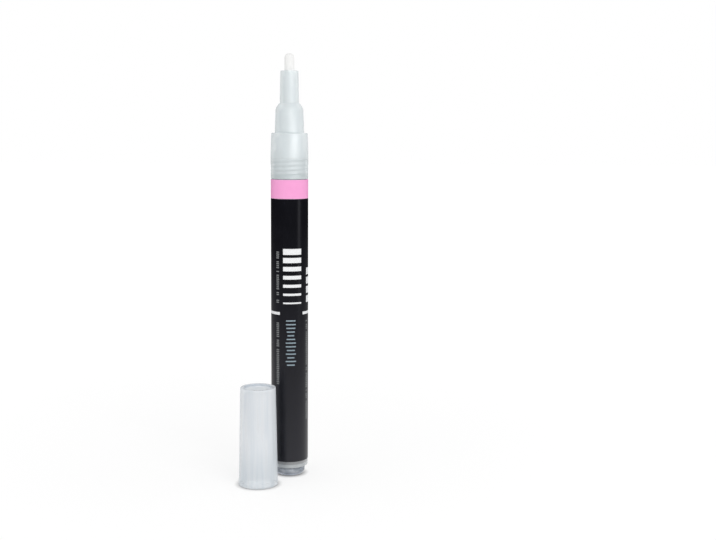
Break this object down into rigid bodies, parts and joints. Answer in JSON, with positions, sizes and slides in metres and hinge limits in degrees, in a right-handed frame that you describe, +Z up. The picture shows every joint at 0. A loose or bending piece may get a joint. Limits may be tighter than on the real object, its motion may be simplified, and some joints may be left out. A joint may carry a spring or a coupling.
{
  "type": "paint marker",
  "caption": "Slim refillable pump-valve paint marker standing nib up on its tail: stepped frosted nose, colour band, black label film, clear tail plug, and its frosted cap standing beside it.",
  "frame": {"origin": "centre of the tail plug's flat face, where the marker stands", "axes": "+Z up the marker's axis to the nib, +X to the right and +Y away from the front; the cap stands front left"},
  "size_m": [0.022, 0.0243, 0.1364],
  "materials": {
    "frosted_plastic": "frosted translucent moulded plastic",
    "liner_plastic": "milky soft plastic",
    "barrel_clear": "clear to milky moulded plastic",
    "tail_clear": "clear glossy moulded plastic",
    "label_film": "semi-gloss black printed film",
    "band_film": "pink printed film",
    "ball_steel": "polished steel",
    "gasket_rubber": "soft milky silicone rubber",
    "valve_plastic": "white moulded plastic",
    "spring_steel": "drawn spring wire",
    "nib_felt": "pressed white felt"
  },
  "bodies": {
    "barrel": {"barrel": "barrel_clear", "tail_plug": "tail_clear", "label_sleeve": "label_film", "colour_band": "band_film"},
    "seal_ring": {"neck_gasket": "gasket_rubber"},
    "head": {"nose": "frosted_plastic", "valve_body": "valve_plastic", "valve_cage": "valve_plastic", "valve_spring": "spring_steel"},
    "pump": {"valve_stem": "valve_plastic"},
    "nib": {"nib": "nib_felt"},
    "cap": {"cap_shell": "frosted_plastic", "cap_liner": "liner_plastic"},
    "ball_1": {"mixing_ball_1": "ball_steel"},
    "ball_2": {"mixing_ball_2": "ball_steel"}
  },
  "joints": [
    {"name": "head_rise", "type": "slide", "parent": "barrel", "child": "seal_ring", "axis": [0, 0, 1], "range_m": [0, 0.0056]},
    {"name": "head_turn", "type": "hinge", "parent": "seal_ring", "child": "head", "pos_m": [0, 0, 0.1042], "axis": [0, 0, 1], "range_deg": [0, 1440]},
    {"name": "nib_pump", "type": "slide", "parent": "head", "child": "pump", "axis": [0, 0, 1], "range_m": [-0.003, 0], "stiffness_N_per_m": 800, "deforming": ["valve_spring"]},
    {"name": "nib_pull", "type": "slide", "parent": "pump", "child": "nib", "axis": [0, 0, 1], "range_m": [0, 0.018]},
    {"name": "cap_lift", "type": "slide", "parent": "barrel", "child": "cap", "axis": [0, 0, 1], "range_m": [0, 0.145]},
    {"name": "ball_1_rattle", "type": "slide", "parent": "barrel", "child": "ball_1", "axis": [0, 0, 1], "range_m": [0, 0.0875]},
    {"name": "ball_2_rattle", "type": "slide", "parent": "barrel", "child": "ball_2", "axis": [0, 0, 1], "range_m": [0, 0.0875]}
  ],
  "couplings": [
    {"joint": "head_turn", "follows": "head_rise", "rad_per_m": 4488}
  ]
}
